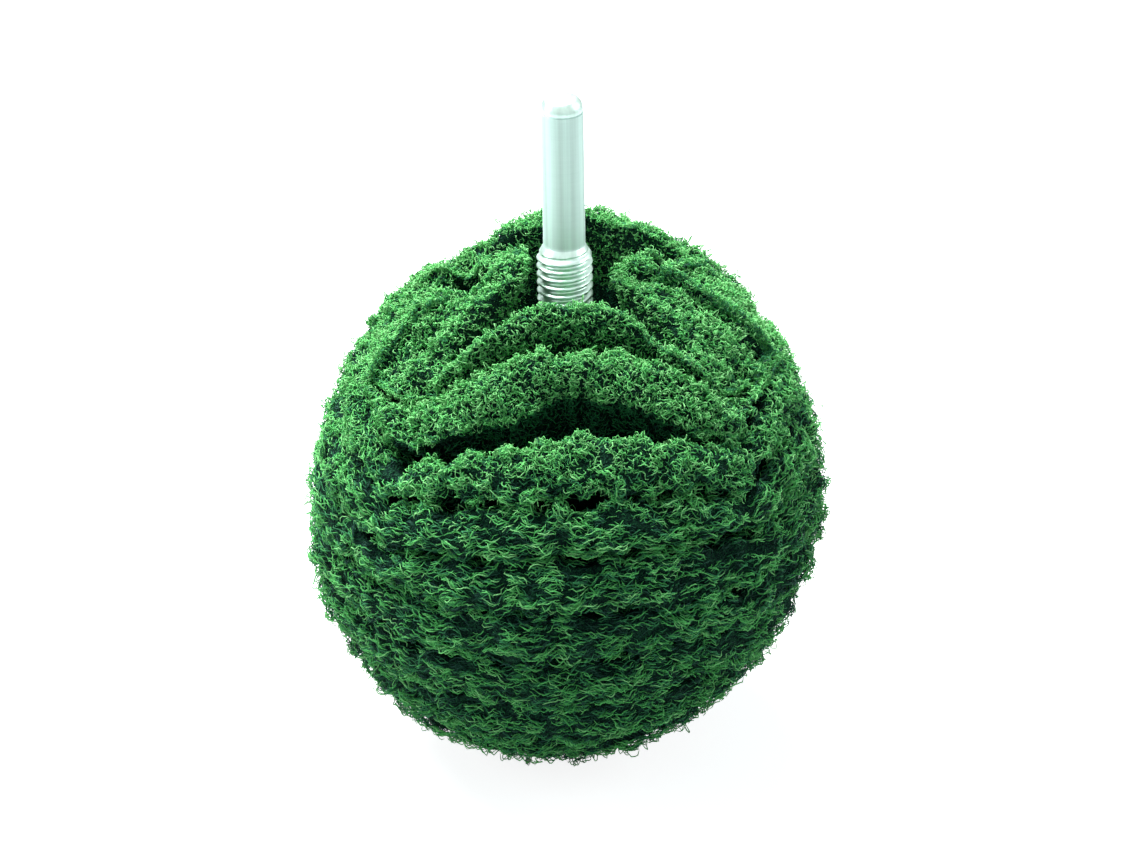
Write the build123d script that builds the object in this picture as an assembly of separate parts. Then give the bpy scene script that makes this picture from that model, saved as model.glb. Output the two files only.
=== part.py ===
from build123d import *
import math
import os

# Polishing ball: discs of nonwoven abrasive clamped on a threaded spindle, so that they fan out into a ball.
# Sizes are in millimetres and angles in degrees. Z is the spindle's axis and z = 0 is the ground.
# Heights in a profile are measured from the ball's centre, and an angle of the ball is measured from the
# top of the axis, so that 90 is the equator.

# Ball
ball_radius = 37.5
ball_half_height = 38.8
rest_flat_radius = 10.0

# Discs
disc_count = 11
clamped_disc_thickness = 2.2
disc_bore_clearance = 0.25
layer_gap = 0.3
rim_bulge = 1.2
mouth_angle = 21.5
upper_rim_angles = [8.0, 11.5]
slack_angles = [3.5, 5.6]
foot_angle = 171.0

# Lobes and pleats: the upper discs rise in lobes, and these are their edges' angles in the pleats between
lobe_count = 4
lobe_turn = 6.0
pleat_angles = [43.5, 52.0, 62.5, 72.5, 82.0]
lobe_lean = 42.0
lobe_lean_edges = 3
lobe_stand = 2.4
lobe_stand_edges = 2
lobe_sections = 5
pleat_sharpness = 2.0

# How a disc bends out of the clamp: the flat run past the washer, and the straight run in from the rim
bend_lead = 7.0
bend_lead_growth = 3.6
bend_lead_steps = 3
rim_reach = 20.0
rim_reach_loss = 3.4
least_rim_reach = 10.0
pleat_reach_loss = 6.0

# Spindle
thread_radius = 4.0
thread_length = 62.0
thread_end_chamfer = 0.9
thread_run_out = 1.7
shank_radius = 3.0
shank_length = 22.1
shank_end_height = 1.4
shank_end_radius = 2.3
shank_end_fillet = 0.5
spindle_end_past_nut = 1.5

# Nuts and washers
washer_radius = 12.0
washer_thickness = 2.0
washer_hole_radius = 4.2
nut_across_flats = 13.0
nut_height = 6.5
nut_thread_clearance = 0.05
nut_chamfer_angle = 30.0

# Places that follow from the sizes
centre_height = ball_half_height * math.sqrt(1 - (rest_flat_radius / ball_radius) ** 2)
half_hub = disc_count * clamped_disc_thickness / 2
washer_face = half_hub + washer_thickness
nut_face = washer_face + nut_height
spindle_foot = -nut_face - spindle_end_past_nut
shoulder = spindle_foot + thread_length
spindle_top = shoulder + shank_length
half_gap_angle = math.degrees(layer_gap / ball_radius) / 2
even_span = foot_angle - mouth_angle - sum(upper_rim_angles) - sum(slack_angles)
even_rim_angle = even_span / (disc_count - len(upper_rim_angles))


def revolved(points):
    """A solid turned about the Z axis from (radius, height) points, heights from the ball's centre."""
    outline = Polyline(*[(r, 0, centre_height + h) for r, h in points], close=True)
    return revolve(make_face(outline), Axis.Z)


def spindle():
    """The threaded spindle, turned down at its top to a plain shank with a rounded end."""
    body = revolved([
        (0, spindle_foot),
        (thread_radius - thread_end_chamfer, spindle_foot),
        (thread_radius, spindle_foot + thread_end_chamfer),
        (thread_radius, shoulder - thread_run_out),
        (shank_radius, shoulder),
        (shank_radius, spindle_top - shank_end_height),
        (shank_end_radius, spindle_top),
        (0, spindle_top),
    ])
    end = body.edges().filter_by(GeomType.CIRCLE).sort_by(Axis.Z)[-1]
    return fillet(end, shank_end_fillet)


def washer(face):
    """A wide flat washer whose lower face lies at this height."""
    return revolved([
        (washer_hole_radius, face),
        (washer_radius, face),
        (washer_radius, face + washer_thickness),
        (washer_hole_radius, face + washer_thickness),
    ])


def nut(face):
    """A hexagon nut with turned corners, whose lower face lies at this height."""
    flat_radius = nut_across_flats / 2
    corner_radius = flat_radius / math.cos(math.radians(30))
    turned = (corner_radius - flat_radius) * math.tan(math.radians(nut_chamfer_angle))
    hexagon = Pos(0, 0, centre_height + face) * extrude(RegularPolygon(corner_radius, 6), nut_height)
    corners = revolved([
        (thread_radius + nut_thread_clearance, face),
        (flat_radius, face),
        (corner_radius, face + turned),
        (corner_radius, face + nut_height - turned),
        (flat_radius, face + nut_height),
        (thread_radius + nut_thread_clearance, face + nut_height),
    ])
    return hexagon & corners


def lobe_angle(index, lower):
    """The angle of a disc's upper or lower rim edge on a lobe, without the gap to the next disc."""
    rims = index + 1 if lower else index
    angle = mouth_angle + sum(upper_rim_angles[:rims]) + sum(slack_angles[:index])
    return angle + max(0, rims - len(upper_rim_angles)) * even_rim_angle


def edge_angle(index, lower, fold):
    """The same edge's angle for a fold from 0 on a lobe to 1 in a pleat, with the gap to the next disc."""
    edge = index + 1 if lower else index
    angle = lobe_angle(index, lower)
    if edge < len(pleat_angles):
        angle += (pleat_angles[edge] - angle) * fold
    if edge in (0, disc_count):
        return angle
    return angle - half_gap_angle if lower else angle + half_gap_angle


def rim_point(angle, stand):
    """The place on the ball at this angle, standing this much past it."""
    a = math.radians(angle)
    reach = 1 / math.hypot(math.sin(a) / ball_radius, math.cos(a) / ball_half_height) + stand
    return reach * math.sin(a), reach * math.cos(a)


def face_line(index, lower, fold):
    """A disc face from the clamp to the rim as the four points of a cubic curve.

    The face leaves the clamp level and reaches the rim square to the ball. On a lobe the topmost
    faces stand past the ball and lean inwards, over the nut.
    """
    edge = index + 1 if lower else index
    angle = edge_angle(index, lower, fold)
    depth = min(edge, disc_count - edge)
    topmost = max(0.0, 1 - edge / lobe_stand_edges)
    r, h = rim_point(angle, lobe_stand * topmost * (1 - fold) - rim_bulge)
    lean = lobe_lean * max(0.0, 1 - edge / lobe_lean_edges) * (1 - fold)
    reach = max(least_rim_reach, rim_reach - rim_reach_loss * depth - pleat_reach_loss * topmost * fold)
    steer = math.radians(angle + lean)
    face = half_hub - edge * clamped_disc_thickness
    return [
        (washer_radius, face),
        (washer_radius + bend_lead + bend_lead_growth * min(depth, bend_lead_steps), face),
        (r - reach * math.sin(steer), h - reach * math.cos(steer)),
        (r, h),
    ]


def rim_line(upper, lower):
    """The rounded rim between the ends of a disc's two faces.

    A cubic curve bulges three quarters as far as its two middle points are pushed out.
    """
    (r1, h1), (r2, h2) = upper[-1], lower[-1]
    push = rim_bulge * 4 / 3
    out1, out2 = math.atan2(r1, h1), math.atan2(r2, h2)
    return [
        (r1, h1),
        (r1 + push * math.sin(out1), h1 + push * math.cos(out1)),
        (r2 + push * math.sin(out2), h2 + push * math.cos(out2)),
        (r2, h2),
    ]


def disc_section(index, fold, azimuth, inner):
    """The closed outline of a disc in the half plane at this azimuth."""
    side = math.radians(azimuth)

    def place(point):
        return (point[0] * math.cos(side), point[0] * math.sin(side), centre_height + point[1])

    upper = face_line(index, False, fold)
    lower = face_line(index, True, fold)
    top, bottom = (inner, upper[0][1]), (inner, lower[0][1])
    return Wire([
        Edge.make_line(place(top), place(upper[0])),
        Edge.make_bezier(*[place(p) for p in upper]),
        Edge.make_bezier(*[place(p) for p in rim_line(upper, lower)]),
        Edge.make_bezier(*[place(p) for p in reversed(lower)]),
        Edge.make_line(place(lower[0]), place(bottom)),
        Edge.make_line(place(bottom), place(top)),
    ])


def pleated_disc(index):
    """A disc whose rim rises in lobes and drops in a sharp pleat between them."""
    half_span = 180 / lobe_count
    sections = []
    for step in range(lobe_sections):
        fold = step / (lobe_sections - 1)
        sections.append(disc_section(index, fold ** pleat_sharpness, fold * half_span, thread_radius / 2))
    half_lobe = Solid.make_loft(sections)
    lobe = half_lobe + mirror(half_lobe, about=Plane.XZ)
    disc = lobe
    for turn in range(1, lobe_count):
        disc = disc + Rot(0, 0, 2 * turn * half_span) * lobe
    return Rot(0, 0, lobe_turn - 90) * disc


def round_disc(index):
    """A disc whose rim is level all round."""
    outline = disc_section(index, 0.0, 0.0, thread_radius / 2)
    return revolve(Face(outline), Axis.Z)


def disc(index):
    """One disc of the ball, bored for the spindle and pressed flat where it meets the ground."""
    body = pleated_disc(index) if index < len(pleat_angles) else round_disc(index)
    bore = Cylinder(thread_radius + disc_bore_clearance, 4 * ball_half_height)
    ground = Pos(0, 0, -ball_half_height) * Box(4 * ball_radius, 4 * ball_radius, 2 * ball_half_height)
    return body - Pos(0, 0, centre_height) * bore - ground


def main():
    os.makedirs("parts", exist_ok=True)
    pieces = {
        "spindle": spindle(),
        "upper_washer": washer(half_hub),
        "upper_nut": nut(washer_face),
        "lower_washer": washer(-washer_face),
        "lower_nut": nut(-nut_face),
    }
    for index in range(disc_count):
        pieces[f"abrasive_disc_{index + 1:02d}"] = disc(index)
    for name, piece in pieces.items():
        export_step(piece, f"parts/{name}.step")


main()
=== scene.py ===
"""Looks of the polishing ball: nonwoven discs with real crimped fibres on a threaded, zinc-plated spindle.

Shapes are worked out in millimetres and written to the meshes in metres. An azimuth is measured from
the front (-Y) towards +X, and an angle of the ball from the top of its axis, both in degrees.
"""
import math

import bpy
import numpy as np
from mathutils import Matrix, Vector


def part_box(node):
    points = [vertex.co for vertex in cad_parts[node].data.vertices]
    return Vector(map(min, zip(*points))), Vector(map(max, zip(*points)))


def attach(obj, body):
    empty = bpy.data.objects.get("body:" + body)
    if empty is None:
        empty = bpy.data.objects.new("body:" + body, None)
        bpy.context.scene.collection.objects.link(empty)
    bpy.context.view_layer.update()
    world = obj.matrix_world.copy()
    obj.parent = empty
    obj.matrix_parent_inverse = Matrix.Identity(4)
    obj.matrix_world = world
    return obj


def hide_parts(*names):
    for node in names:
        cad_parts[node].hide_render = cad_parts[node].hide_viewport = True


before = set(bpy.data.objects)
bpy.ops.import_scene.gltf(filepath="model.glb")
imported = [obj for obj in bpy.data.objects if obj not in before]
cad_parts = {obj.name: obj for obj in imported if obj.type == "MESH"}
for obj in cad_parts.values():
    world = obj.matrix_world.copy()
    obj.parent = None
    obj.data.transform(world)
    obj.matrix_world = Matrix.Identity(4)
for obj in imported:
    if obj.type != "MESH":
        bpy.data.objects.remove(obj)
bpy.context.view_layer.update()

MM = 0.001

# Camera: where the photograph was taken from, in millimetres and degrees, and where in its frame the
# ball's centre lies
PHOTO_WIDTH, PHOTO_HEIGHT = 1140, 855
SENSOR = 36.0
FOCAL_PIXELS = 4118.0
CAMERA_DISTANCE = 600.0
CAMERA_ELEVATION = 27.0
CAMERA_ROLL = 1.0
CAMERA_CLIP = 10.0
BALL_PIXEL = (568.7, 495.0)


def box_mm(node):
    """A node's lowest and highest corners in millimetres."""
    low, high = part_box(node)
    return np.array(low) / MM, np.array(high) / MM


# Sizes taken from the frame
DISCS = sorted(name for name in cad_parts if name.startswith("abrasive_disc_"))
DISC_COUNT = len(DISCS)
HUB_LOW = box_mm("lower_washer")[1][2]
HUB_HIGH = box_mm("upper_washer")[0][2]
CENTRE_HEIGHT = (HUB_LOW + HUB_HIGH) / 2
HALF_HUB = (HUB_HIGH - HUB_LOW) / 2
CLAMPED_THICKNESS = 2 * HALF_HUB / DISC_COUNT
WASHER_RADIUS = box_mm("upper_washer")[1][0]
SPINDLE_LOW, SPINDLE_HIGH = (corner[2] for corner in box_mm("spindle"))
THREAD_RADIUS = box_mm("spindle")[1][0]

# Ball: its lumps and hollows start at a distance from its centre and are in full a little further out
BALL_RADIUS = 37.5
BALL_HALF_HEIGHT = 38.8
SHOWN_FROM, SHOWN_OVER = 26.0, 5.0
LUMP_HEIGHT, SMALL_LUMP_HEIGHT = 0.3, 0.22

# Rim of a disc: how deep the groove on either side of it is, and how far its middle is pushed out
RIM_BULGE = 1.2
FIRST_RIM_PUSH = 1.2
RIM_PUSH = 1.6
GROOVE_MIDDLE, GROOVE_SWING = 0.75, 0.4
GROOVE_LEAST, GROOVE_MOST = 0.2, 1.3

# Faces of the discs are counted from the top: 0 and 1 are the first disc's upper and lower face, and so
# on. Each lobe has the azimuth of its crest, how far its lip leans outwards, and for its topmost faces
# the angle at the crest, the half widths to either side, how square the arch is, and how far it stands
# past the ball
LOBES = [
    dict(azimuth=-90.0, lean=-34.0,
         faces=[(7.8, 31.0, 44.0, 6, 0.5), (14.6, 15.0, 16.0, 6, 0.2), (26.3, 37.0, 44.0, 8, -0.9)]),
    dict(azimuth=5.0, lean=25.0,
         faces=[(20.6, 55.5, 44.0, 2.9, 3.0), (29.8, 55.5, 44.0, 2.9, -3.4), (30.6, 55.5, 44.0, 2.9, 0.5),
                (39.4, 61.0, 45.0, 1.4, -0.8), (50.3, 57.0, 47.0, 1.9, 0.8)]),
    dict(azimuth=91.0, lean=-30.0,
         faces=[(11.0, 42.0, 33.0, 6, -1.4), (18.8, 8.0, 24.0, 6, 0.5), (29.5, 43.0, 36.0, 8, -1.1)]),
    dict(azimuth=160.0, lean=-45.0,
         faces=[(21.5, 45.0, 62.0, 6, 3.1), (30.0, 45.0, 62.0, 6, 2.2), (31.0, 47.0, 65.0, 6, 2.4),
                (45.5, 47.0, 65.0, 6, 0.4)]),
]

# The faces' angles in the pleats between lobes, how far the first disc's upper face runs in over the ball
# there, how many faces lean, how sharply an arch ends in its pleats, and the arch that a lobe doesn't list
PLEAT_ANGLES = [48.5, 51.5, 52.5, 65.0, 66.0, 73.0, 73.6, 82.0, 82.6]
PLEAT_LEAN = 66.0
LEANING_FACES = 2
PLEAT_SHARPNESS = 4
PLAIN_ARCH = (50.0, 45.0, 2, 0.0)
LEAST_GAP = 0.6

# Where the first disc's lower edge runs steeply down beside a fold, it lies flush with the disc below:
# how far to either side the slope is measured, the slopes for none and all of it, in degrees of angle per
# degree of azimuth, and how far the flush edges stand past the ball
FLUSH_REACH = 3.0
LEVEL_SLOPE, FLUSH_SLOPE = 1.1, 2.8
FLUSH_STAND = 0.5

# The rims below the lobes, from the lower edge of the second disc to the foot, in degrees
THIRD_RIM_ANGLE = 50.1
FOOT_ANGLE = 171.0
EVEN_RIM = (FOOT_ANGLE - THIRD_RIM_ANGLE) / (DISC_COUNT - 2)

# How the rims waver, in degrees: together in long waves, each by itself in short ones up to the most, and
# apart by a gap that opens and closes, more between the first discs
WAVER = 0.9
RAGGED_PER_FACE, RAGGED_MOST = 0.2, 0.7
LAYER_GAP = 0.38
GAP_MIDDLE, GAP_MOST = 0.5, 1.3
GAP_SWING, FIRST_GAP_SWING = 0.6, 0.9
FIRST_GAPS = 3

# How a disc bends out of the clamp: how far past the washer its faces start to turn, further for each
# disc from either end of the stack up to some, how far inside the rim they have turned, less for each
# disc, and how far along the faces the place lies towards which the web draws in from the rim
BEND_LEAD = 7.0
BEND_LEAD_GROWTH = 3.6
BEND_LEAD_STEPS = 3
RIM_REACH = 20.0
RIM_REACH_LOSS = 3.4
LEAST_RIM_REACH = 10.0
MIDDLE_OF_RIM = 0.86

# Random fields: wavelength, first seed and number of waves. The first four run round a circle of radius
# 1, and the others through the ball in millimetres. The waves of a field differ by the spread
FIELDS = dict(
    waver=(1.9, 40, 12),
    ragged=(0.16, 160, 24),
    gap=(0.55, 80, 16),
    groove=(1.1, 120, 12),
    lumps=(8.0, 7, 12),
    small_lumps=(3.4, 21, 12),
    fine_pits=(1.5, 301, 24),
    patches=(5.0, 302, 16),
    broken_seams=(9.0, 303, 16),
)
WAVE_SPREAD = (0.7, 1.5)


def ripple(field, points, number=0):
    """A smooth random field of about unit strength from plane waves, another one for each number."""
    wavelength, seed, waves = FIELDS[field]
    draw = np.random.default_rng(seed + number)
    vectors = draw.normal(size=(waves, points.shape[-1]))
    vectors /= np.linalg.norm(vectors, axis=1, keepdims=True)
    vectors *= 2 * math.pi / wavelength * draw.uniform(*WAVE_SPREAD, (waves, 1))
    return np.sin(points @ vectors.T + draw.uniform(0, 2 * math.pi, waves)).sum(-1) / math.sqrt(waves / 2)


def around(azimuth):
    """Points on a circle of radius 1, so that a field of them closes on itself."""
    a = np.radians(azimuth)
    return np.stack([np.sin(a), np.cos(a)], -1)


def even_angle(face):
    """The angle at the rim of a face below the lobes."""
    return THIRD_RIM_ANGLE + EVEN_RIM * ((face + 1) // 2 - 2)


def arch(face, azimuth):
    """A face's angle at the rim, how far it stands past the ball, and its lean, at each azimuth."""
    angle = np.full(azimuth.shape, np.inf)
    stand, lean = np.zeros(azimuth.shape), np.zeros(azimuth.shape)
    for lobe in LOBES:
        away = (azimuth - lobe["azimuth"] + 180) % 360 - 180
        listed = face < len(lobe["faces"])
        shape = lobe["faces"][face] if listed else (even_angle(face), *PLAIN_ARCH)
        crest, before, after, squareness, out = shape
        fall = (np.abs(away) / np.where(away < 0, before, after)) ** squareness
        share = fall / (1 + fall ** PLEAT_SHARPNESS) ** (1 / PLEAT_SHARPNESS)
        here = crest + (PLEAT_ANGLES[face] - crest) * share
        highest = here < angle
        angle = np.where(highest, here, angle)
        stand = np.where(highest, out * (1 - share), stand)
        folded = lobe["lean"] * (1 - share) + PLEAT_LEAN * share
        lean = np.where(highest, folded * max(0.0, 1 - face / LEANING_FACES), lean)
    if face and face % 2 == 0:
        above, above_stand, _ = arch(face - 1, azimuth)
        under = angle < above + LEAST_GAP
        angle = np.where(under, above + LEAST_GAP, angle)
        stand = np.where(under, above_stand, stand)
    return angle, stand, lean


def edge(face, azimuth):
    """A face's angle at the rim, its stand and its lean, with the waver of a real stack."""
    if face < len(PLEAT_ANGLES):
        angle, stand, lean = arch(face, azimuth)
    else:
        angle = np.full(azimuth.shape, even_angle(face))
        stand, lean = np.zeros(azimuth.shape), np.zeros(azimuth.shape)
    boundary = (face + 1) // 2
    if 0 < boundary < DISC_COUNT:
        angle = angle + WAVER * ripple("waver", around(azimuth), boundary)
        ragged = min(RAGGED_PER_FACE * face, RAGGED_MOST)
        angle = angle + ragged * ripple("ragged", around(azimuth), face)
        swing = FIRST_GAP_SWING if boundary < FIRST_GAPS else GAP_SWING
        opening = GAP_MIDDLE + swing * ripple("gap", around(azimuth), boundary)
        angle = angle + (-0.5 if face % 2 else 0.5) * np.clip(opening, 0.0, GAP_MOST) * LAYER_GAP
    return angle, stand, lean


def rim_point(angle, stand):
    """(radius, height) on the ball at this angle, standing this much past it."""
    a = np.radians(angle)
    reach = 1 / np.hypot(np.sin(a) / BALL_RADIUS, np.cos(a) / BALL_HALF_HEIGHT) + stand
    return np.stack([reach * np.sin(a), reach * np.cos(a)], -1)


def pair(radius, height):
    """(radius, height) pairs from two numbers or arrays."""
    return np.stack(np.broadcast_arrays(radius, height), -1)


def flush(boundary, azimuth):
    """How flush the rims on either side of a boundary between discs lie: 0 for a groove, 1 for none."""
    if boundary != 1:
        return np.zeros(azimuth.shape)
    before, after = (arch(1, azimuth + turn)[0] for turn in (-FLUSH_REACH, FLUSH_REACH))
    slope = np.abs(after - before) / (2 * FLUSH_REACH)
    return np.clip((slope - LEVEL_SLOPE) / (FLUSH_SLOPE - LEVEL_SLOPE), 0, 1)


def face_line(disc, lower, azimuth):
    """A disc face from the clamp to the rim: the four points of a cubic curve at each azimuth."""
    face = 2 * disc + lower
    boundary = disc + lower
    angle, stand, lean = edge(face, azimuth)
    depth = min(boundary, DISC_COUNT - boundary)
    groove = GROOVE_MIDDLE + GROOVE_SWING * ripple("groove", around(azimuth), boundary)
    groove = np.clip(groove, GROOVE_LEAST, GROOVE_MOST)
    flat = flush(boundary, azimuth)
    end = rim_point(angle, stand + FLUSH_STAND * flat - RIM_BULGE * groove * (1 - flat))
    reach = max(LEAST_RIM_REACH, RIM_REACH - RIM_REACH_LOSS * depth)
    steer = np.radians(angle + lean)
    height = HALF_HUB - boundary * CLAMPED_THICKNESS
    lead = WASHER_RADIUS + BEND_LEAD + BEND_LEAD_GROWTH * min(depth, BEND_LEAD_STEPS)
    start = pair(np.full(azimuth.shape, WASHER_RADIUS), height)
    run = pair(np.full(azimuth.shape, lead), height)
    return start, run, end - reach * pair(np.sin(steer), np.cos(steer)), end


def rim_line(disc, azimuth, upper, lower):
    """The rim between the ends of a disc's two faces: the four points of a cubic curve.

    Its handles follow an arc about the ball's centre and push its middle out.
    """
    ends = upper[-1], lower[-1]
    reach = [np.linalg.norm(end, axis=-1, keepdims=True) for end in ends]
    out = [end / length for end, length in zip(ends, reach)]
    down = [pair(way[..., 1], -way[..., 0]) for way in out]
    span = np.arccos(np.clip((out[0] * out[1]).sum(-1, keepdims=True), -1, 1))
    handle = 4 / 3 * np.tan(span / 4) * (reach[0] + reach[1]) / 2
    push = FIRST_RIM_PUSH if disc == 0 else RIM_PUSH
    upper_push, lower_push = (push * (1 - flush(disc + side, azimuth))[..., None] for side in (0, 1))
    return (ends[0], ends[0] + handle * down[0] + upper_push * out[0],
            ends[1] - handle * down[1] + lower_push * out[1], ends[1])


def cubic(points, t):
    """A place on a cubic curve."""
    t = t[..., None]
    u = 1 - t
    return u ** 3 * points[0] + 3 * u * u * t * points[1] + 3 * u * t * t * points[2] + t ** 3 * points[3]


def outline(disc, azimuth, along, inset=0.0):
    """(radius, height) on a disc's outline: to 1 on its upper face, to 2 on its rim, to 3 on its lower face.

    An inset moves the place towards the disc's middle, by half of the way there at the most.
    """
    upper, lower = face_line(disc, False, azimuth), face_line(disc, True, azimuth)
    rim = rim_line(disc, azimuth, upper, lower)
    place = np.where((along < 1)[..., None], cubic(upper, np.clip(along, 0, 1)),
                     cubic(rim, np.clip(along - 1, 0, 1)))
    place = np.where((along > 2)[..., None], cubic(lower, np.clip(3 - along, 0, 1)), place)
    inner = np.minimum(np.where(along > 2, 3 - along, along), MIDDLE_OF_RIM)
    away = place - (cubic(upper, inner) + cubic(lower, inner)) / 2
    distance = np.maximum(np.linalg.norm(away, axis=-1), 1e-6)
    return place - away * (np.minimum(inset, distance / 2) / distance)[..., None]


# Places pressed into the ball, or out of it where the depth is negative: azimuth, angle, half width, half
# height and depth
HOLLOWS = [
    (-63.0, 37.0, 1.6, 5.5, 2.2),
    (-52.0, 38.0, 3.0, 1.8, 1.2),
    (-46.0, 45.5, 5.0, 1.8, 1.4),
    (6.0, 28.0, 9.0, 1.4, 1.3),
    (33.0, 33.5, 4.5, 2.2, 1.7),
    (-3.0, 42.5, 5.0, 2.0, 1.0),
    (-91.0, 21.0, 5.0, 2.8, 3.5),
    (103.0, 25.5, 3.5, 2.2, 3.0),
    (92.0, 128.0, 26.0, 17.0, 2.5),
    (40.0, 148.0, 18.0, 12.0, 1.2),
    (-58.0, 138.0, 22.0, 14.0, -1.4),
    (0.0, 153.0, 16.0, 9.0, 0.7),
]


def on_ball(azimuth, angle):
    """The direction from the ball's centre at this azimuth and angle."""
    a, b = math.radians(azimuth), math.radians(angle)
    return np.array([math.sin(b) * math.sin(a), -math.sin(b) * math.cos(a), math.cos(b)])


def pressed_in(points):
    """How far each point, measured from the ball's centre, is pushed towards it by the hollows."""
    depth = np.zeros(points.shape[:-1])
    for azimuth, angle, half_width, half_height, deep in HOLLOWS:
        centre = on_ball(azimuth, angle)
        side = np.array([math.cos(math.radians(azimuth)), math.sin(math.radians(azimuth)), 0.0])
        down = np.cross(side, centre)
        away = points - centre * np.linalg.norm(points, axis=-1, keepdims=True)
        reach = ((away @ side) / half_width) ** 2 + ((away @ down) / half_height) ** 2
        facing = points @ centre > 0
        depth += np.where(facing, deep * np.exp(-reach), 0.0)
    return depth


def shown(distance):
    """1 near the ball's surface and 0 deep inside, by distance from the centre."""
    return np.clip((distance - SHOWN_FROM) / SHOWN_OVER, 0, 1)


def surface(disc, azimuth, along, inset=0.0):
    """Points on a disc's surface, in millimetres, with its lumps and hollows."""
    section = outline(disc, azimuth, along, inset)
    a = np.radians(azimuth)
    points = np.stack([section[..., 0] * np.sin(a), -section[..., 0] * np.cos(a), section[..., 1]], -1)
    distance = np.linalg.norm(points, axis=-1)
    lumps = LUMP_HEIGHT * ripple("lumps", points, disc)
    lumps = lumps + SMALL_LUMP_HEIGHT * ripple("small_lumps", points, disc)
    moved = shown(distance) * (lumps - pressed_in(points))
    points = points * ((distance + moved) / distance)[..., None]
    points[..., 2] = np.maximum(points[..., 2] + CENTRE_HEIGHT, 0.0)
    return points


def unit(vectors):
    """The vectors at length 1."""
    return vectors / np.maximum(np.linalg.norm(vectors, axis=-1, keepdims=True), 1e-9)


def surface_frame(disc, azimuth, along):
    """Points on a disc's surface with the two directions along it and the outward normal there."""
    turn, step = 0.4, 0.02
    here = surface(disc, azimuth, along)
    across = (surface(disc, azimuth + turn, along) - here) / turn
    down = (surface(disc, azimuth, along + step) - here) / step
    return here, across, down, unit(np.cross(down, across))


def mesh_object(name, points, faces, materials, shade=None):
    """A smooth mesh from points in millimetres and faces given as (corner indices, corner counts)."""
    corners, counts = faces
    mesh = bpy.data.meshes.new(name)
    mesh.vertices.add(len(points))
    mesh.vertices.foreach_set("co", (points * MM).astype(np.float32).ravel())
    mesh.loops.add(len(corners))
    mesh.loops.foreach_set("vertex_index", corners.astype(np.int32))
    mesh.polygons.add(len(counts))
    mesh.polygons.foreach_set("loop_start", np.concatenate([[0], np.cumsum(counts)[:-1]]).astype(np.int32))
    mesh.polygons.foreach_set("use_smooth", np.full(len(counts), True))
    for material in materials:
        mesh.materials.append(material)
    if shade is not None:
        mesh.polygons.foreach_set("material_index", shade.astype(np.int32))
    mesh.update(calc_edges=True)
    mesh.validate()
    piece = bpy.data.objects.new(name, mesh)
    bpy.context.collection.objects.link(piece)
    return piece


def grid_faces(rows, columns, join_ends):
    """The quads of a grid of points: each row is closed, and the last may be joined to the first."""
    i = np.arange(rows if join_ends else rows - 1)
    i, j = np.meshgrid(i, np.arange(columns), indexing="ij")
    i2, j2 = (i + 1) % rows, (j + 1) % columns
    quads = np.stack([i * columns + j, i * columns + j2, i2 * columns + j2, i2 * columns + j], -1)
    return quads.ravel(), np.full(quads[..., 0].size, 4)


# Materials: how dark the painted reflection bands along the steel are against its colour, and how its
# roughness varies
REFLECTION_BAND_SHADE = 0.8
SMOOTHER, ROUGHER = 0.08, 0.1
FIBRE_ROUGHNESS = 0.55


def nodes_of(material):
    """A material's nodes, links and main shader."""
    material.use_nodes = True
    tree = material.node_tree
    return tree.nodes, tree.links, tree.nodes["Principled BSDF"]


def fibre_material(name, colour):
    """One shade of bonded nylon fibre."""
    material = bpy.data.materials.new(name)
    _, _, shader = nodes_of(material)
    shader.inputs["Base Color"].default_value = (*colour, 1)
    shader.inputs["Roughness"].default_value = FIBRE_ROUGHNESS
    shader.inputs["Specular IOR Level"].default_value = 0.15
    return material


def web_material():
    """The dense web under the loose fibres: painted dark green as shade under them, with paler strands and
    deep pores.
    """
    material = bpy.data.materials.new("nonwoven_web_painted_shade")
    nodes, links, shader = nodes_of(material)
    place = nodes.new("ShaderNodeTexCoord")
    strands = nodes.new("ShaderNodeTexNoise")
    strands.inputs["Scale"].default_value = 3600.0
    strands.inputs["Detail"].default_value = 3.0
    strands.inputs["Distortion"].default_value = 1.2
    pores = nodes.new("ShaderNodeTexVoronoi")
    pores.inputs["Scale"].default_value = 2600.0
    # Painted shade: these colours are far darker than the fibres', for the shadow deep in the web
    colours = nodes.new("ShaderNodeValToRGB")
    colours.color_ramp.elements[0].position = 0.44
    colours.color_ramp.elements[0].color = (0.003, 0.010, 0.010, 1)
    colours.color_ramp.elements[1].position = 0.66
    colours.color_ramp.elements[1].color = (0.014, 0.080, 0.034, 1)
    bump = nodes.new("ShaderNodeBump")
    bump.inputs["Strength"].default_value = 0.9
    bump.inputs["Distance"].default_value = 0.0004
    links.new(place.outputs["Object"], strands.inputs["Vector"])
    links.new(place.outputs["Object"], pores.inputs["Vector"])
    links.new(strands.outputs["Fac"], colours.inputs["Fac"])
    links.new(colours.outputs["Color"], shader.inputs["Base Color"])
    links.new(pores.outputs["Distance"], bump.inputs["Height"])
    links.new(bump.outputs["Normal"], shader.inputs["Normal"])
    shader.inputs["Roughness"].default_value = 0.9
    shader.inputs["Specular IOR Level"].default_value = 0.05
    return material


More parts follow.
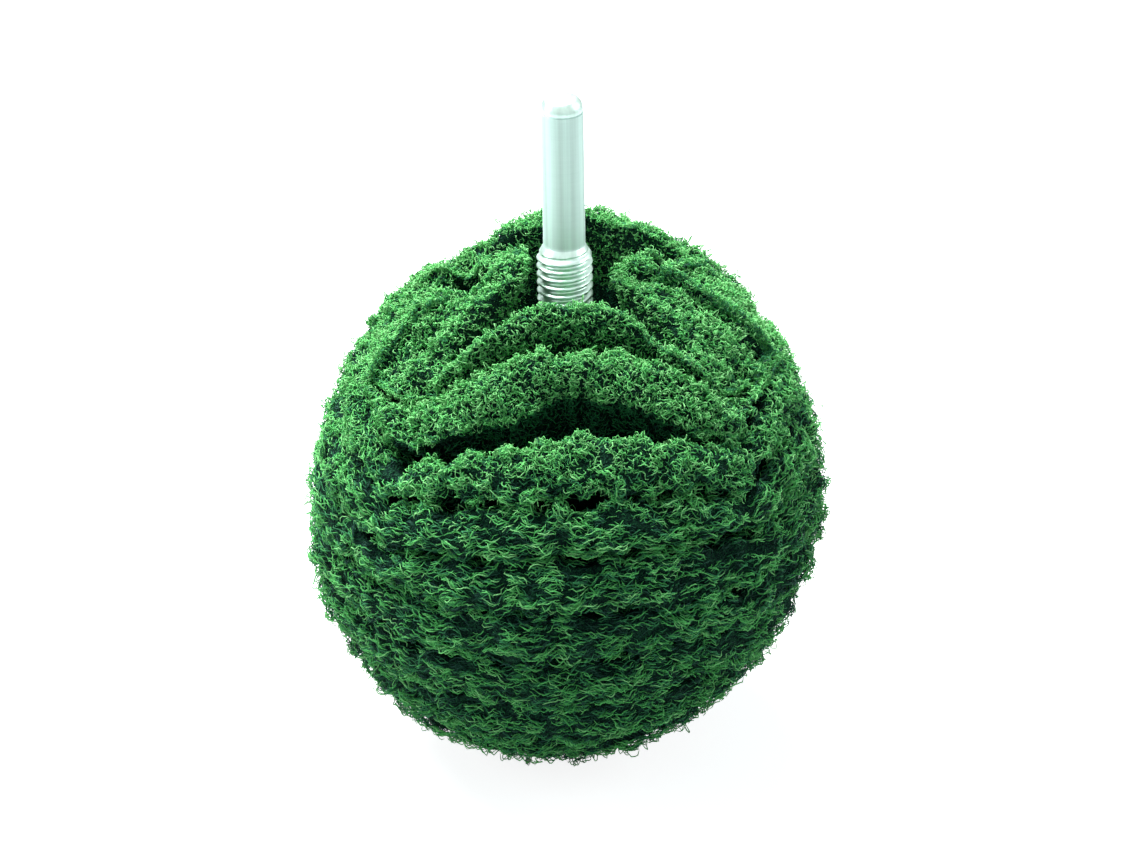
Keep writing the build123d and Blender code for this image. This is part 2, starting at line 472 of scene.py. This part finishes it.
def steel_material(name, colour, roughness, turning):
    """Bright zinc plating with fine turning marks round the axis and darker bands along it: painted
    reflection.
    """
    material = bpy.data.materials.new(name)
    nodes, links, shader = nodes_of(material)
    place = nodes.new("ShaderNodeTexCoord")
    stretch = nodes.new("ShaderNodeMapping")
    stretch.inputs["Scale"].default_value = (200.0, 200.0, 4500.0)
    rings = nodes.new("ShaderNodeTexNoise")
    rings.inputs["Scale"].default_value = 1.0
    rings.inputs["Detail"].default_value = 3.0
    band_stretch = nodes.new("ShaderNodeMapping")
    band_stretch.inputs["Scale"].default_value = (1000.0, 1000.0, 14.0)
    reflection_bands = nodes.new("ShaderNodeTexNoise")
    reflection_bands.inputs["Scale"].default_value = 1.0
    reflection_bands.inputs["Detail"].default_value = 4.0
    tint = nodes.new("ShaderNodeValToRGB")
    tint.color_ramp.elements[0].position = 0.35
    tint.color_ramp.elements[0].color = (*[REFLECTION_BAND_SHADE * part for part in colour], 1)
    tint.color_ramp.elements[1].position = 0.6
    tint.color_ramp.elements[1].color = (*colour, 1)
    gloss = nodes.new("ShaderNodeMapRange")
    gloss.inputs["To Min"].default_value = roughness - SMOOTHER
    gloss.inputs["To Max"].default_value = roughness + ROUGHER
    bump = nodes.new("ShaderNodeBump")
    bump.inputs["Strength"].default_value = turning
    bump.inputs["Distance"].default_value = 0.00004
    links.new(place.outputs["Object"], stretch.inputs["Vector"])
    links.new(stretch.outputs["Vector"], rings.inputs["Vector"])
    links.new(place.outputs["Object"], band_stretch.inputs["Vector"])
    links.new(band_stretch.outputs["Vector"], reflection_bands.inputs["Vector"])
    # Painted reflection: bands along the axis darken the plating's colour
    links.new(reflection_bands.outputs["Fac"], tint.inputs["Fac"])
    links.new(tint.outputs["Color"], shader.inputs["Base Color"])
    links.new(rings.outputs["Fac"], gloss.inputs["Value"])
    links.new(gloss.outputs["Result"], shader.inputs["Roughness"])
    links.new(rings.outputs["Fac"], bump.inputs["Height"])
    links.new(bump.outputs["Normal"], shader.inputs["Normal"])
    shader.inputs["Metallic"].default_value = 1.0
    return material


WEB = web_material()
FIBRES = {name: fibre_material(name, colour) for name, colour in [
    ("fibre_dark", (0.010, 0.060, 0.038)),
    ("fibre_deep", (0.034, 0.205, 0.076)),
    ("fibre_green", (0.074, 0.380, 0.092)),
    ("fibre_leaf", (0.122, 0.465, 0.128)),
    ("fibre_pale", (0.190, 0.525, 0.180)),
]}
# The green-cyan tint of the steels is painted reflection of the green ball
SPINDLE_STEEL = steel_material("zinc_plated_spindle", (0.60, 0.78, 0.735), 0.6, 0.5)
# A paler copy of the plating for the thread and the bevel: painted highlight
PAINTED_HIGHLIGHT_STEEL = steel_material("zinc_plated_painted_highlight", (0.70, 0.93, 0.84), 0.33, 0.2)
FASTENER_STEEL = steel_material("zinc_plated_fastener", (0.55, 0.68, 0.65), 0.35, 0.3)


def make_camera():
    """The camera at the photograph's place, turned so that the ball falls where the photograph has it."""
    centre = Vector((0, 0, CENTRE_HEIGHT))
    tilt, roll = math.radians(CAMERA_ELEVATION), math.radians(CAMERA_ROLL)
    back = Vector((0, -math.cos(tilt), math.sin(tilt)))
    level_right = Vector((1, 0, 0))
    level_up = level_right.cross(-back)
    right = level_right * math.cos(roll) - level_up * math.sin(roll)
    up = level_right * math.sin(roll) + level_up * math.cos(roll)
    place = centre + back * CAMERA_DISTANCE
    scale = CAMERA_DISTANCE / FOCAL_PIXELS
    left_of_middle = PHOTO_WIDTH / 2 - BALL_PIXEL[0]
    below_middle = BALL_PIXEL[1] - PHOTO_HEIGHT / 2
    target = centre + right * left_of_middle * scale + up * below_middle * scale
    ahead = (target - place).normalized()
    right = (right - ahead * right.dot(ahead)).normalized()
    up = right.cross(ahead)
    data = bpy.data.cameras.new("camera")
    data.sensor_width = SENSOR
    data.lens = FOCAL_PIXELS * SENSOR / PHOTO_WIDTH
    data.clip_start = CAMERA_CLIP * MM
    camera = bpy.data.objects.new("camera", data)
    turn = Matrix((right, up, -ahead)).transposed().to_4x4()
    camera.matrix_world = Matrix.Translation(place * MM) @ turn
    bpy.context.collection.objects.link(camera)
    bpy.context.scene.camera = camera


# Spindle: an M8 thread, turned down to the shank, whose end has a line, a bevel rounded between two angles
# and a flat top. Then how finely it is drawn
PITCH = 1.25
THREAD_DEPTH = 0.66
CREST_ROUNDNESS = 2.4
SHANK_RADIUS = 3.0
SHANK_LENGTH = 22.1
RUN_OUT = 1.7
THREAD_END_CHAMFER = 0.9
SHANK_END_HEIGHT = 1.9
SHANK_END_RADIUS = 2.0
END_LINE_DEPTH = 0.12
END_LINE_WIDTH = 0.2
END_FROM, END_TO = 10.0, 72.0
END_ROUNDING, END_ROUNDING_HEIGHT = 0.2, 0.02
END_MIDDLE = 0.4
THREAD_STOP = 0.02
SHARP_ANGLE = 35.0
SPINDLE_COLUMNS = 72
RINGS_PER_TURN = 14
SHANK_RINGS = 40
END_RINGS = 12


def spindle_radius(height, azimuth):
    """The spindle's radius at a height above the ground, with the right-hand thread below the shoulder."""
    shoulder = SPINDLE_HIGH - SHANK_LENGTH
    phase = (height / PITCH - azimuth / 360) % 1
    thread = THREAD_RADIUS - THREAD_DEPTH * (1 - np.sin(math.pi * phase) ** CREST_ROUNDNESS)
    from_top = SHANK_RADIUS + (shoulder - height) * (THREAD_RADIUS - SHANK_RADIUS) / RUN_OUT
    from_foot = THREAD_RADIUS - THREAD_END_CHAMFER + (height - SPINDLE_LOW)
    return np.minimum(thread, np.minimum(from_top, from_foot))


def shank_rings():
    """(radius, height) of the plain shank from the shoulder over its end line and its rounded bevel."""
    bevel = SPINDLE_HIGH - SHANK_END_HEIGHT
    line_foot = bevel - END_LINE_WIDTH
    line_radius = SHANK_RADIUS - END_LINE_DEPTH
    rings = [(SHANK_RADIUS, h) for h in np.linspace(SPINDLE_HIGH - SHANK_LENGTH, line_foot, SHANK_RINGS)]
    rings += [(line_radius, line_foot), (line_radius, bevel)]
    for turn in np.radians(np.linspace(END_FROM, END_TO, END_RINGS)):
        radius = SHANK_END_RADIUS + (SHANK_RADIUS - SHANK_END_RADIUS) * math.cos(turn)
        rings.append((radius, bevel + SHANK_END_HEIGHT * math.sin(turn)))
    rings.append((SHANK_END_RADIUS, SPINDLE_HIGH - END_ROUNDING_HEIGHT))
    rings.append((SHANK_END_RADIUS - END_ROUNDING, SPINDLE_HIGH))
    rings.append((SHANK_END_RADIUS * END_MIDDLE, SPINDLE_HIGH))
    return rings


def make_spindle():
    """The spindle as one closed mesh: the thread's rings, then the plain shank with its rounded bevel."""
    columns = SPINDLE_COLUMNS
    azimuth = np.arange(columns) * 360 / columns
    thread_height = SPINDLE_HIGH - SHANK_LENGTH - SPINDLE_LOW
    thread_top = SPINDLE_HIGH - SHANK_LENGTH - THREAD_STOP
    heights = np.linspace(SPINDLE_LOW, thread_top, int(thread_height / PITCH * RINGS_PER_TURN))
    rings = [(spindle_radius(h, azimuth), h) for h in heights]
    rings += [(np.full(columns, r), h) for r, h in shank_rings()]
    a = np.radians(azimuth)
    points = [np.stack([r * np.sin(a), -r * np.cos(a), np.full(columns, h)], -1) for r, h in rings]
    points = np.concatenate(points + [np.array([[0, 0, SPINDLE_LOW], [0, 0, SPINDLE_HIGH]])])
    corners, counts = grid_faces(len(rings), columns, join_ends=False)
    j = np.arange(columns)
    foot, top = len(points) - 2, len(points) - 1
    first_of_last = (len(rings) - 1) * columns
    fan_foot = np.stack([np.full(columns, foot), (j + 1) % columns, j], -1)
    fan_top = np.stack([np.full(columns, top), first_of_last + j, first_of_last + (j + 1) % columns], -1)
    corners = np.concatenate([corners, fan_foot.ravel(), fan_top.ravel()])
    counts = np.concatenate([counts, np.full(2 * columns, 3)])
    face = np.arange(len(counts))
    threaded = face < (len(heights) - 1) * columns
    bevelled = face >= (len(heights) + SHANK_RINGS + 1) * columns
    # Painted highlight: the thread and the bevel wear a paler copy of the plating
    steels = [SPINDLE_STEEL, PAINTED_HIGHLIGHT_STEEL]
    piece = mesh_object("threaded_spindle", points, (corners, counts), steels, shade=threaded | bevelled)
    piece.data.set_sharp_from_angle(angle=math.radians(SHARP_ANGLE))
    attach(piece, "root")
    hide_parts("spindle")


# The web of each disc: its bore, how far under the disc's surface it lies, and its points round it, along
# a face and along the rim
DISC_BORE_RADIUS = THREAD_RADIUS + 0.25
WEB_DEPTH = 0.95
AZIMUTH_STEPS = 420
FACE_STEPS = 16
RIM_STEPS = 14


def make_web(disc):
    """A disc's dense web: a closed ring mesh from its bore over the faces and the rim."""
    azimuth = np.arange(AZIMUTH_STEPS) * 360 / AZIMUTH_STEPS
    toward_rim = np.sin(np.linspace(0, math.pi / 2, FACE_STEPS))
    along = np.concatenate([toward_rim, 1 + np.linspace(0, 1, RIM_STEPS)[1:], 3 - toward_rim[::-1][1:]])
    around_disc, along_disc = np.meshgrid(azimuth, along, indexing="ij")
    points = surface(disc, around_disc, along_disc, WEB_DEPTH)
    a = np.radians(azimuth)
    bore = []
    for boundary in (disc + 1, disc):
        height = CENTRE_HEIGHT + HALF_HUB - boundary * CLAMPED_THICKNESS
        ring = [DISC_BORE_RADIUS * np.sin(a), -DISC_BORE_RADIUS * np.cos(a), np.full(len(a), height)]
        bore.append(np.stack(ring, -1)[:, None, :])
    points = np.concatenate([points] + bore, axis=1)
    faces = grid_faces(*points.shape[:2], join_ends=True)
    piece = mesh_object(f"disc_{disc + 1:02d}_web", points.reshape(-1, 3), faces, [WEB])
    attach(piece, "root")
    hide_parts(DISCS[disc])


# Layers of fibre from the depth of the web to its surface: share of the fibres, lowest and highest place
# against the disc's surface, how high a fibre arches, between which strengths of growth and whether in
# the folds it is found, how much darker its shades turn low on the ball, painted shade for its lower side,
# and the shades that it draws from, darker for the deeper layers as painted shade. The less their spread,
# the more of them are the pale ones, painted light at the top of the ball
LAYERS = [
    dict(name="deep", share=0.2, low=-0.95, high=-0.6, arc=0.15, growth=(-math.inf, 0.5), in_folds=True,
         low_painted_shade=2.0, shades=["fibre_dark", "fibre_deep"]),
    dict(name="mid", share=0.47, low=-0.75, high=-0.25, arc=0.2, growth=(-0.45, math.inf), in_folds=True,
         low_painted_shade=2.0, shades=["fibre_deep", "fibre_green", "fibre_leaf"]),
    dict(name="top", share=0.33, low=-0.35, high=0.1, arc=0.3, growth=(-0.15, math.inf), in_folds=False,
         low_painted_shade=1.6, shades=["fibre_green", "fibre_leaf", "fibre_pale"]),
]
SHADE_SPREAD = 0.42

# How many fibres there are, and the cells round a disc, in degrees, and along its outline over which they
# are spread
FIBRE_SEED = 1000
FIBRES_PER_MM2 = 8.0
FIBRES_PER_PIECE = 7500
THINNER_LOW_DOWN = 0.4
CELL_TURN = 2.0
CELLS_ALONG = 60

# Between which marks of its outline a disc bears fibres, then from where on the first disc, to where on
# the last, and where the fold beside it is open by this many degrees. Past the last mark, they are those
# of a fold and not of the rim
FIBRES_FROM, FIBRES_TO = 0.8, 2.15
FIRST_FROM, LAST_TO = 0.3, 2.9
OPEN_FROM, OPEN_TO = 0.4, 2.5
OPEN_FOLD = 3.0
FOLD_FROM = 2.03

# One fibre: its radius and the spread of it, its length, how far it swings to either side in radians and
# in how many waves, how it rises over them, and how its arch varies. Its tube is narrower at the tips,
# and its corners are turned from a direction that hardly any fibre follows
FIBRE_RADIUS = 0.088
RADIUS_SPREAD = (0.75, 1.2)
FIBRE_LENGTH = (0.7, 1.7)
FIBRE_SWING = (0.5, 1.5)
FIBRE_WAVES = (0.6, 1.3)
RISE, RISE_WAVES = 0.14, 1.3
ARC_SHAPE = 1.5
FIBRE_POINTS = 5
TUBE_SIDES = 3
TIP_WIDTH, TIP_TAPER = 0.5, 2.2
ASIDE = (0.31, 0.52, 0.8)
OVER_FLOOR = 0.02

# What changes from the top of the ball, the first value, to low down, the second: the fibres' length, how
# far they turn from level in radians, and how far they swing. Under the ball they are shorter again
LENGTHS = (0.85, 1.6)
TURNS = (1.5, 0.3)
SWINGS = (0.85, 0.5)
SHORTER_UNDERNEATH = 0.5

# Where such changes run: the height over the ball's centre where each starts, and over how much height
# it comes about
COMBED = (26.0, 16.0)
PITTED = (24.0, 24.0)
SEAMED = (24.0, 6.0)
# Band of the painted shade that darkens the fibres low on the ball
PAINTED_SHADE_BAND = (24.0, 28.0)
UNDERNEATH = (-27.0, 6.0)

# How the web is grown: pits and larger patches, how strong they are at the top and low down, how long
# and level they get there, how much thinner it all is, and the broken seams along the rims' edges
FINE_PITS, PATCHES = 0.8, 0.45
PIT_STRENGTHS = (0.2, 1.15)
LEVEL_SCALE, UPRIGHT_SCALE = 0.35, 1.2
LOW_THINNING = 0.35
SEAM_WIDTH = 0.12
SEAM_DEPTH, SEAM_MIDDLE, SEAM_MOST = 0.65, 0.5, 1.6


def between(first, second, share):
    """A value part of the way from the first to the second."""
    return first + (second - first) * share


def low_on_ball(points, band):
    """0 down to where the band starts, rising to 1 where it is complete."""
    start, over = band
    return np.clip((CENTRE_HEIGHT + start - points[..., 2]) / over, 0, 1)


def fold_opening(boundary, azimuth):
    """How far apart the rims on either side of a boundary between discs are, in degrees."""
    return edge(2 * boundary, azimuth)[0] - edge(2 * boundary - 1, azimuth)[0]


def bears_fibres(disc, azimuth, along):
    """Where a disc bears fibres: where it shows, and further in where a fold beside it stands open."""
    low = np.full(azimuth.shape, FIRST_FROM if disc == 0 else FIBRES_FROM)
    high = np.full(azimuth.shape, LAST_TO if disc == DISC_COUNT - 1 else FIBRES_TO)
    if disc > 0:
        low[fold_opening(disc, azimuth) > OPEN_FOLD] = OPEN_FROM
    if disc < DISC_COUNT - 1:
        high[fold_opening(disc + 1, azimuth) > OPEN_FOLD] = OPEN_TO
    return (along > low) & (along < high)


def scatter(disc, draw):
    """Places spread by area over what bears fibres of a disc, fewer low down, with their frames."""
    low = FIRST_FROM if disc == 0 else OPEN_FROM
    high = LAST_TO if disc == DISC_COUNT - 1 else OPEN_TO
    azimuth, along = np.arange(0, 360, CELL_TURN), np.linspace(low, high, CELLS_ALONG + 1)
    step = along[1] - along[0]
    around_disc, along_disc = np.meshgrid(azimuth, along[:-1] + step / 2, indexing="ij")
    middles, across, down, _ = surface_frame(disc, around_disc + CELL_TURN / 2, along_disc)
    area = np.linalg.norm(np.cross(down, across), axis=-1) * CELL_TURN * step
    wanted = area * (1 - THINNER_LOW_DOWN * low_on_ball(middles, COMBED))
    wanted = (wanted * bears_fibres(disc, around_disc + CELL_TURN / 2, along_disc)).ravel()
    density = FIBRES_PER_MM2
    cells = draw.choice(wanted.size, int(wanted.sum() * density), p=wanted / wanted.sum())
    azimuth = around_disc.ravel()[cells] + draw.uniform(0, CELL_TURN, len(cells))
    along = along_disc.ravel()[cells] + draw.uniform(-0.5, 0.5, len(cells)) * step
    points, across, _, normal = surface_frame(disc, azimuth, along)
    across = unit(across)
    return points, across, unit(np.cross(normal, across)), normal, along


def web_growth(points, along):
    """How strongly the web is grown: the lower, the fewer layers of fibre, down to pits."""
    centred = points - [0, 0, CENTRE_HEIGHT]
    low = low_on_ball(points, PITTED)
    level, upright = between(1, LEVEL_SCALE, low), between(1, UPRIGHT_SCALE, low)
    stretched = centred * np.stack([level, level, upright], -1)
    growth = FINE_PITS * ripple("fine_pits", stretched) + PATCHES * ripple("patches", stretched)
    from_seam = np.minimum(np.abs(along - 1), np.abs(along - 2))
    broken = np.clip(ripple("broken_seams", centred) + SEAM_MIDDLE, 0, SEAM_MOST)
    seam = SEAM_DEPTH * np.exp(-(from_seam / SEAM_WIDTH) ** 2) * broken * low_on_ball(points, SEAMED)
    return growth * between(*PIT_STRENGTHS, low) - LOW_THINNING * low - seam


def fibre_paths(layer, places, draw):
    """The centre line of each fibre: a crimped curve that runs along the surface and arches off it."""
    points, across, down, normal, _ = places
    count = len(points)
    combed = low_on_ball(points, COMBED)
    length = draw.uniform(*FIBRE_LENGTH, count) * between(*LENGTHS, combed)
    length = length * between(1, SHORTER_UNDERNEATH, low_on_ball(points, UNDERNEATH))
    heading = draw.normal(0, 1, count) * between(*TURNS, combed) + math.pi * draw.integers(0, 2, count)
    t = np.linspace(0, 1, FIBRE_POINTS)[None, :]
    swing = (draw.uniform(*FIBRE_SWING, count) * between(*SWINGS, combed))[:, None]
    waves = draw.uniform(*FIBRE_WAVES, count)[:, None]
    phase = draw.uniform(0, 2 * math.pi, count)[:, None]
    turned = heading[:, None] + swing * np.sin(2 * math.pi * waves * t + phase)
    step = length[:, None] / (FIBRE_POINTS - 1)
    u = np.cumsum(np.cos(turned), 1) * step
    v = np.cumsum(np.sin(turned), 1) * step
    u, v = u - u.mean(1, keepdims=True), v - v.mean(1, keepdims=True)
    base = draw.uniform(layer["low"], layer["high"], count)[:, None]
    arc = draw.gamma(ARC_SHAPE, layer["arc"] / ARC_SHAPE, count)[:, None]
    rise = RISE * np.sin(2 * math.pi * waves * t * RISE_WAVES + 2 * phase)
    height = base + arc * np.sin(math.pi * t) + rise
    return (points[:, None, :] + u[..., None] * across[:, None, :] + v[..., None] * down[:, None, :]
            + height[..., None] * normal[:, None, :])


def tubes(paths, radius):
    """Closed tubes along the paths, thinner at the ends: their points, corner indices and corner counts."""
    count, steps = paths.shape[:2]
    ahead = unit(np.gradient(paths, axis=1))
    side = unit(np.cross(ahead, np.array(ASIDE)))
    over = np.cross(ahead, side)
    taper = np.minimum(1, TIP_WIDTH + TIP_TAPER * np.sin(np.linspace(0, math.pi, steps)))
    rings = []
    for corner in range(TUBE_SIDES):
        turn = 2 * math.pi * corner / TUBE_SIDES
        offset = math.cos(turn) * side + math.sin(turn) * over
        rings.append(paths + offset * (radius[:, None] * taper)[..., None])
    points = np.stack(rings, 2).reshape(-1, 3)
    ring, corner = np.meshgrid(np.arange(steps - 1) * TUBE_SIDES, np.arange(TUBE_SIDES), indexing="ij")
    here, beside = ring + corner, ring + (corner + 1) % TUBE_SIDES
    walls = np.stack([here, beside, beside + TUBE_SIDES, here + TUBE_SIDES], -1)
    cap = np.arange(TUBE_SIDES)
    pattern = np.concatenate([walls.ravel(), cap[::-1], (steps - 1) * TUBE_SIDES + cap])
    counts = np.concatenate([np.full(here.size, 4), [TUBE_SIDES, TUBE_SIDES]])
    corners = (pattern[None, :] + (np.arange(count) * steps * TUBE_SIDES)[:, None]).ravel()
    return points, corners, np.tile(counts, count)


def add_tufts(disc, layer, paths, radius, pick):
    """The fibres of one layer of a disc as pieces, each fibre with the picked one of the layer's shades."""
    materials = [FIBRES[name] for name in layer["shades"]]
    for tuft, first in enumerate(range(0, len(paths), FIBRES_PER_PIECE), 1):
        some = slice(first, first + FIBRES_PER_PIECE)
        points, corners, counts = tubes(paths[some], radius[some])
        shade = np.repeat(pick[some], len(counts) // len(paths[some]))
        name = f"disc_{disc + 1:02d}_{layer['name']}_fibres_{tuft}"
        piece = mesh_object(name, points, (corners, counts), materials, shade=shade)
        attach(piece, "root")
        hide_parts(DISCS[disc])


def make_fibres(disc):
    """The crimped fibres on what shows of a disc, layer by layer, with the darkest ones in the folds as
    painted shade.
    """
    draw = np.random.default_rng(FIBRE_SEED + disc)
    places = scatter(disc, draw)
    points, along = places[0], places[-1]
    growth = web_growth(points, along)
    in_fold = (disc > 0) & (along < FIBRES_FROM) | (disc < DISC_COUNT - 1) & (along > FOLD_FROM)
    layer_of = draw.choice(len(LAYERS), len(points), p=[layer["share"] for layer in LAYERS])
    for number, layer in enumerate(LAYERS):
        least, most = layer["growth"]
        keep = (layer_of == number) & (growth > least) & (growth < most)
        if not layer["in_folds"]:
            keep &= ~in_fold
        mine = [values[keep] for values in places]
        paths = fibre_paths(layer, mine, draw)
        paths[..., 2] = np.maximum(paths[..., 2], FIBRE_RADIUS + OVER_FLOOR)
        radius = FIBRE_RADIUS * draw.uniform(*RADIUS_SPREAD, len(paths))
        # Painted shade and light: darker shades low on the ball, paler ones at its top
        skew = SHADE_SPREAD + layer["low_painted_shade"] * low_on_ball(points[keep], PAINTED_SHADE_BAND)
        pick = (len(layer["shades"]) * draw.random(len(paths)) ** skew).astype(int)
        # Painted shade: fibres inside the folds take the layer's darkest shade
        pick[in_fold[keep]] = 0
        add_tufts(disc, layer, paths, radius, pick)


# Stage, in metres and watts: the floor's size, shade and glow for the camera, the tint and strength of
# the light from all around, and the lamps with their places, sizes and powers
FLOOR_SIZE = 6.0
FLOOR_SHADE = 0.5
FLOOR_GLOW = 0.85
SKY_TINT = (0.62, 0.86, 1.0)
SKY_STRENGTH = 0.35
LAMPS = [
    ("key", (-0.24, 0.24, 0.84), 0.7, 28.0),
    ("left", (-0.85, -0.05, 0.35), 0.5, 2.4),
    ("right", (0.85, 0.05, 0.4), 0.5, 2.5),
]


def make_floor():
    """A plain white floor that keeps the ball's shadow."""
    bpy.ops.mesh.primitive_plane_add(size=FLOOR_SIZE, location=(0, 0, 0))
    floor = bpy.context.object
    floor.name = "floor"
    material = bpy.data.materials.new("white_floor")
    nodes, links, shader = nodes_of(material)
    shader.inputs["Base Color"].default_value = (FLOOR_SHADE, FLOOR_SHADE, FLOOR_SHADE, 1)
    shader.inputs["Roughness"].default_value = 0.9
    path = nodes.new("ShaderNodeLightPath")
    glow = nodes.new("ShaderNodeEmission")
    both = nodes.new("ShaderNodeAddShader")
    scale = nodes.new("ShaderNodeMath")
    scale.operation = "MULTIPLY"
    scale.inputs[1].default_value = FLOOR_GLOW
    links.new(path.outputs["Is Camera Ray"], scale.inputs[0])
    links.new(scale.outputs["Value"], glow.inputs["Strength"])
    links.new(shader.outputs["BSDF"], both.inputs[0])
    links.new(glow.outputs["Emission"], both.inputs[1])
    links.new(both.outputs["Shader"], nodes["Material Output"].inputs["Surface"])
    floor.data.materials.append(material)


def make_light(name, place, size, power):
    """A soft square lamp that faces the ball."""
    data = bpy.data.lights.new(name, "AREA")
    data.size = size
    data.energy = power
    lamp = bpy.data.objects.new(name, data)
    away = Vector(place)
    aim = Vector((0, 0, CENTRE_HEIGHT * MM)) - away
    lamp.matrix_world = Matrix.Translation(away) @ aim.to_track_quat("-Z", "Y").to_matrix().to_4x4()
    bpy.context.collection.objects.link(lamp)


def make_world():
    """White surroundings for the camera and for reflections, and soft light for the rest."""
    world = bpy.data.worlds.new("studio")
    bpy.context.scene.world = world
    world.use_nodes = True
    nodes, links = world.node_tree.nodes, world.node_tree.links
    background = nodes["Background"]
    path = nodes.new("ShaderNodeLightPath")
    seen = nodes.new("ShaderNodeMath")
    seen.operation = "MAXIMUM"
    tint = nodes.new("ShaderNodeMix")
    tint.data_type = "RGBA"
    tint.inputs["A"].default_value = (*SKY_TINT, 1)
    tint.inputs["B"].default_value = (1, 1, 1, 1)
    strength = nodes.new("ShaderNodeMapRange")
    strength.inputs["To Min"].default_value = SKY_STRENGTH
    strength.inputs["To Max"].default_value = 1.0
    links.new(path.outputs["Is Camera Ray"], seen.inputs[0])
    links.new(path.outputs["Is Glossy Ray"], seen.inputs[1])
    links.new(seen.outputs["Value"], strength.inputs["Value"])
    links.new(seen.outputs["Value"], tint.inputs["Factor"])
    links.new(tint.outputs["Result"], background.inputs["Color"])
    links.new(strength.outputs["Result"], background.inputs["Strength"])


make_camera()
make_world()
make_floor()
for lamp_name, lamp_place, lamp_size, lamp_power in LAMPS:
    make_light(lamp_name, lamp_place, lamp_size, lamp_power)
bpy.context.scene.view_settings.view_transform = "Standard"

make_spindle()
for part_name in ("upper_nut", "upper_washer", "lower_washer", "lower_nut"):
    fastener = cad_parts[part_name]
    fastener.data.materials.clear()
    fastener.data.materials.append(FASTENER_STEEL)
for disc_index in range(DISC_COUNT):
    make_web(disc_index)
    make_fibres(disc_index)
